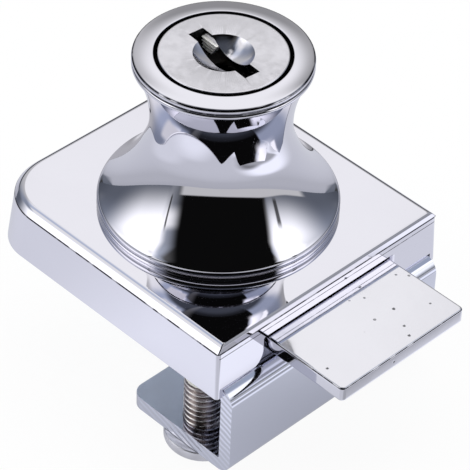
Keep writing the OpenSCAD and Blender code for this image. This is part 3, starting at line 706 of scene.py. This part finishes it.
def make_plug():
    """Plug with a soft edge round its face, the keyway with its ribs, the dish and the wafer slots."""
    edge, base_z, tail_z, wafer_h, stop_r = 0.12, 7.6, 6.925, 0.85, 7.4
    profile = [(0, base_z), (PLUG_R, base_z), (PLUG_R, SEAT), (FACE_R, SEAT), (FACE_R, PLUG_FACE - 0.2)]
    profile += arc(FACE_R - edge, PLUG_FACE - edge, edge, 0, 90, 4) + [(7.3, PLUG_FACE), (0, PLUG_FACE)]
    plug = lathe("plug_turned", profile, 144)
    tail = drum(0, 0, tail_z, 8.5, 3.2)
    combine(tail, "INTERSECT", block(-4, 4, -2.4, 2.4, 6, 9))
    combine(plug, "UNION", tail, prism("stop", [(0, 0)] + arc(0, 0, stop_r, 210, 240, 12), 27.45, 29.6))
    combine(plug, "DIFFERENCE", turned(block(-KEY_LONG, KEY_LONG, -KEY_WIDE, KEY_WIDE, KEY_DEEP, 32), KEY_AT))
    bm = bmesh.new()
    bmesh.ops.create_uvsphere(bm, u_segments=128, v_segments=64, radius=DISH_R)
    combine(plug, "DIFFERENCE", moved(piece("dish", bm), 0, 0, DISH_Z))
    for z in WAFER_Z:
        combine(plug, "DIFFERENCE", turned(block(-7, 7, -3.05, 3.05, z - RUN, z + wafer_h), KEY_AT),
                turned(block(1.2, 2.9, 0, 4.4, z - RUN, z + wafer_h), KEY_AT))
        bore = drum(0, 0, -1.4, 1.25, 0.65, n=24)
        bore.data.transform(Matrix.Rotation(math.radians(90), 4, "Y"))
        combine(plug, "DIFFERENCE", turned(moved(bore, 0, SPRING_Y, z + SPRING_UP), KEY_AT))
    combine(plug, "DIFFERENCE", drum(0, 0, 6, 12.35, 1.5, n=32))
    for i in range(4):
        z, half = 29.72 - 0.48 * i, 0.08
        rib = block(-4.9, -2.2 - 0.3 * i, 0.68 + 0.04 * i, 1.3, z - half, z + half)
        combine(plug, "UNION", turned(rib, KEY_AT))
    round_edges(plug, 0.07, lambda x, y, z: z > PLUG_FACE - 1.6 and math.hypot(x, y) < 6.5, 2)
    smooth(plug)
    return plug


# Bolt
def make_bolt():
    """Flat tongue with rounded edges and end corners, and the slot for the cam's pin."""
    edge, r, x0, x1, h, z0, z1 = 0.26, 0.6, 0.9, 30.4, 10.1, 3.95, 5.9
    rings = []
    for i in range(6):
        t = math.radians(90 * i / 5)
        rings.append((edge * (1 - math.sin(t)), z0 + edge * (1 - math.cos(t))))
    rings += [(0, z0 + edge + 0.1), (0, z1 - edge - 0.1)]
    rings += [(i, z0 + z1 - z) for i, z in reversed(rings[:6])]

    def ring(inset, z):
        c = r - inset
        pts = arc(x1 - r, h - r, c, 0, 90, 6) + [(x0 + inset, h - inset), (x0 + inset, inset - h)]
        return [(x, y, z) for x, y in pts + arc(x1 - r, r - h, c, 270, 360, 6)]

    bm = bmesh.new()
    loft(bm, [ring(edge + 0.05, z0)] + [ring(i, z) for i, z in rings] + [ring(edge + 0.05, z1)])
    bolt = piece("bolt_tongue", bm)
    combine(bolt, "DIFFERENCE", block(3.5, 6.5, 3.5, 8.571, 3, 7))
    smooth(bolt)
    return bolt


# Clamp and its screws
def make_clamp():
    """Bent sheet: upper flange, web and lower plate, with rounded free corners and softened edges."""
    t, bend, reach, z_top, z_low, half = 1.8, 2.0, 20.2, 2.3, -10.6, 17.1
    upper_end, lower_end, c = 1.0, 3.4, 1.8
    bx, inner_r = reach - bend, bend - t
    section = [(upper_end, z_top)] + arc(bx, z_top - bend, bend, 90, 0, 14)
    section += arc(bx, z_low + bend, bend, 0, -90, 14) + [(lower_end, z_low), (lower_end, z_low + t)]
    section += arc(bx, z_low + bend, inner_r, -90, 0, 5) + arc(bx, z_top - bend, inner_r, 0, 90, 5)
    section += [(upper_end, z_top - t)]
    bm = bmesh.new()
    loft(bm, [[(x, y, z) for x, z in section] for y in (-half, half)])
    clamp = piece("clamp_sheet", bm)
    for x0, za, zb in ((upper_end, 0, 3), (lower_end, -11, -8.5)):
        for s in (-1, 1):
            corner = [(x0 - 1, s * (half + 1)), (x0 - 1, s * (half - c))]
            corner += [(x, s * y) for x, y in arc(x0 + c, half - c, c, 180, 90, 10)]
            corner += [(x0 + c, s * (half + 1))]
            combine(clamp, "DIFFERENCE", prism("corner", corner, za, zb))
    for s in (-1, 1):
        combine(clamp, "DIFFERENCE", drum(SCREW_X, s * SCREW_Y, -12, -8, 2.5),
                drum(FIX[0], s * FIX[1], 0, 3, 1.5), drum(FIX[0], s * FIX[1], 0.499, 1.85, 2.851, 1.5))
    round_edges(clamp, 0.16, lambda x, y, z: abs(y) > half - 2 or x < 3.5, 3)
    smooth(clamp)
    return clamp


def make_screw(name, side):
    """Clamping screw with its wound thread, domed head and cross recess."""
    pitch, crest, depth, z0, z1 = 0.8, 2.45, 0.42, -10.9, -2.65
    cols, per = 40, 14
    rows = int((z1 - z0) / pitch * per)
    rings = []
    for j in range(rows + 1):
        z = z0 + (z1 - z0) * j / rows
        lead = min(1.0, max(0.0, (z1 - z) / 0.45))
        ring = []
        for i in range(cols):
            a = 2 * math.pi * i / cols
            u = (z / pitch - i / cols) % 1.0
            tooth = min(1.0, max(0.0, (abs(u - 0.5) * 2 - 0.14) / 0.72))
            r = crest - depth * tooth - 0.35 * (1 - lead) ** 2
            ring.append((r * math.cos(a), r * math.sin(a), z))
        rings.append(ring)
    bm = bmesh.new()
    loft(bm, rings)
    screw = piece(name, bm)
    top, head_r, wall, dome = HEAD_TOP, 4.7, 1.05, 1.4
    head = [(0, top), (4.55, top), (4.65, top - 0.06), (head_r, top - 0.16), (head_r, top - wall)]
    head += [(head_r * math.cos(math.radians(t)), top - wall - dome * math.sin(math.radians(t)))
             for t in range(8, 90, 7)] + [(0, top - wall - dome)]
    cap = lathe("head", head, 64)
    long, wide, recess = 2.3, 0.55, (-14, -11.55)
    combine(cap, "DIFFERENCE", block(-long, long, -wide, wide, *recess),
            block(-wide, wide, -long, long, *recess))
    combine(screw, "UNION", cap)
    combine(screw, "DIFFERENCE", drum(0, 0, -4.25, -1, 0.95, n=32))
    moved(screw, SCREW_X, side * SCREW_Y, 0)
    smooth(screw, 40)
    return screw


# Pad
def make_pad():
    """Moulded pad on the glass, thick behind the clamp's flange and thin under it."""
    def slab(x_end, z0, z1, edge):
        h, r, x0 = 16.2, 5.7, -18.9
        rings = [(edge, z0), (edge * 0.3, z0 + edge * 0.3), (0, z0 + edge), (0, z1 - edge),
                 (edge * 0.3, z1 - edge * 0.3), (edge, z1)]
        bm = bmesh.new()
        loft(bm, [[(x, y, z) for x, y in [(x_end - i, i - h), (x_end - i, h - i)]
                   + arc(x0 + r, h - r, r - i, 90, 180, 14) + arc(x0 + r, r - h, r - i, 180, 270, 14)]
                  for i, z in rings])
        return piece("pad_moulded", bm)

    pad = slab(16.2, 0, 0.5, 0.12)
    combine(pad, "UNION", slab(0.7, 0.2, 2.3, 0.15))
    smooth(pad, 40)
    return pad


# Wafer springs
def make_spring(i):
    """Wound spring between the plug and a wafer's lug; its last turns lie flat."""
    z = WAFER_Z[i] + SPRING_UP
    wire, mean, turns, steps, sides = 0.1, 0.49, 6.5, 16, 6
    x0, x1 = -1.35 + wire, 1.2 - wire
    n = int(turns * steps)
    rings = []
    for k in range(n + 1):
        f = k / n
        x = x0 + (x1 - x0) * min(1.0, max(0.0, (f - 0.06) / 0.88))
        a = 2 * math.pi * turns * f
        ring = []
        for s in range(sides):
            b = 2 * math.pi * s / sides
            r = mean + wire * math.cos(b)
            ring.append((x + wire * math.sin(b), SPRING_Y + r * math.cos(a), z + r * math.sin(a)))
        rings.append(ring)
    bm = bmesh.new()
    loft(bm, rings)
    spring = turned(piece(f"wound_spring_{i + 1}", bm), KEY_AT)
    smooth(spring, 60)
    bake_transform(spring)
    return spring


make_camera()
make_world()
make_floor()
make_lamps()

# Looks
CHROME, ZINC = (0.775, 0.768, 0.83, 1), (0.6, 0.61, 0.64)
# The edge lists give dark lines of painted shade: the base's knee and front wall, the rim's beads and the groove
# between them, the bolt's top edge
base_look = chrome("base_chrome", CHROME, 0.025, wave=0.03, shade_lines=[(KNEE - 0.02, 0.085), (7.2, 0.045, True)])
housing_look = chrome("housing_chrome", CHROME, 0.025, wave=0.02,
                      shade_lines=[(30.37, 0.06), (29.75, 0.12), (29.08, 0.05)])
plug_look = chrome("plug_chrome", (0.785, 0.775, 0.825, 1), 0.07, wave=0.05, rings=0.12)
bolt_look = chrome("bolt_plating", (0.785, 0.78, 0.83, 1), 0.06, wave=0.3, pits=0.9, shade_lines=[(5.79, 0.05)])
clamp_look = chrome("clamp_plating", (0.7, 0.715, 0.8, 1), 0.07, wave=0.12, shear=0.9)
# The pad is painted paler than its rubber: painted light, so that it shows bright where the plate mirrors it in
# the shade under the base
pad_look = matt("pad_painted_pale", (0.8, 0.87, 0.94), 0.7, 0.25)
screw_look = thread_steel("clamp_screw_nickel")
# Near-black painted shade for the recesses: the keyway, the inside behind the mouth and the housing's well
recess_shade_look = zinc("recess_painted_shade", (0.035, 0.035, 0.038), 0.5)
head_look = zinc("clamp_screw_head", (0.82, 0.81, 0.84), 0.3)
rib_look = matt("keyway_rib", (0.86, 0.85, 0.82), 0.4, 0.1)
wire_look = zinc("spring_wire", (0.5, 0.51, 0.53), 0.25)
plate_look, small_look = zinc("plate_zinc", ZINC, 0.38), zinc("screw_zinc", (0.64, 0.65, 0.68), 0.3)
wafer_look = zinc("wafer_metal", (0.5, 0.46, 0.38), 0.3)
tip_look = matt("tip_plastic", (0.82, 0.81, 0.76), 0.5, 0.12)

# Pieces that take a solid's place: object, body, node, slot, look
pieces = [
    (make_base(), "lock", "base_case", "chrome", base_look),
    (make_housing(), "lock", "cylinder_housing", "chrome", housing_look),
    (make_plug(), "plug", "plug", "plug_chrome", plug_look),
    (make_bolt(), "bolt", "bolt", "plated_steel", bolt_look),
    (make_clamp(), "lock", "clamp_bracket", "clamp_chrome", clamp_look),
    (make_pad(), "lock", "glass_pad", "rubber_pad", pad_look),
]
for side, sign in (("left", -1), ("right", 1)):
    pieces.append((make_screw(f"threaded_screw_{side}", sign), f"screw_{side}", f"clamp_screw_{side}",
                   "nickel_screw", screw_look))

# Second looks of a node: a face takes the first whose test its middle passes, in mm
head_faces = [(head_look, lambda x, y, z: z < HEAD_TOP + 0.05)]
# The keyway's walls, the base's inside behind the mouth and the housing's well take the near-black painted shade
others = {"plug": [(rib_look, keyway_rib), (recess_shade_look, keyway_inside)],
          "base_case": [(recess_shade_look, lambda x, y, z: x < 17.7 and abs(y) < 11.2 and 2.3 < z < 6.6)],
          "cylinder_housing": [(recess_shade_look, lambda x, y, z: math.hypot(x, y) < 8.03 and z < FACE_TOP - 0.15)],
          "clamp_screw_left": head_faces, "clamp_screw_right": head_faces}
for obj, body, node, slot, look in pieces:
    obj.data.materials.clear()
    obj.data.materials.append(look)
    tests = others.get(node, [])
    for other, _ in tests:
        obj.data.materials.append(other)
    for f in obj.data.polygons:
        f.material_index = next((i for i, (_, test) in enumerate(tests, 1) if test(*(f.center / MM))), 0)
    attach(obj, body)
    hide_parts(node)
for i in range(5):
    spring = make_spring(i)
    spring.data.materials.clear()
    spring.data.materials.append(wire_look)
    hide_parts(f"wafer_spring_{i + 1}")

# Solids that are shown as they are
looks = {"cam": plate_look, "back_plate": plate_look, "cam_screw": small_look, "housing_screws": small_look,
         "back_plate_screws": small_look, "bracket_screws": small_look, "screw_tip_left": tip_look,
         "screw_tip_right": tip_look}
looks.update({f"wafer_{i}": wafer_look for i in range(1, 6)})
for name, look in looks.items():
    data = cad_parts[name].data
    data.materials.clear()
    data.materials.append(look)
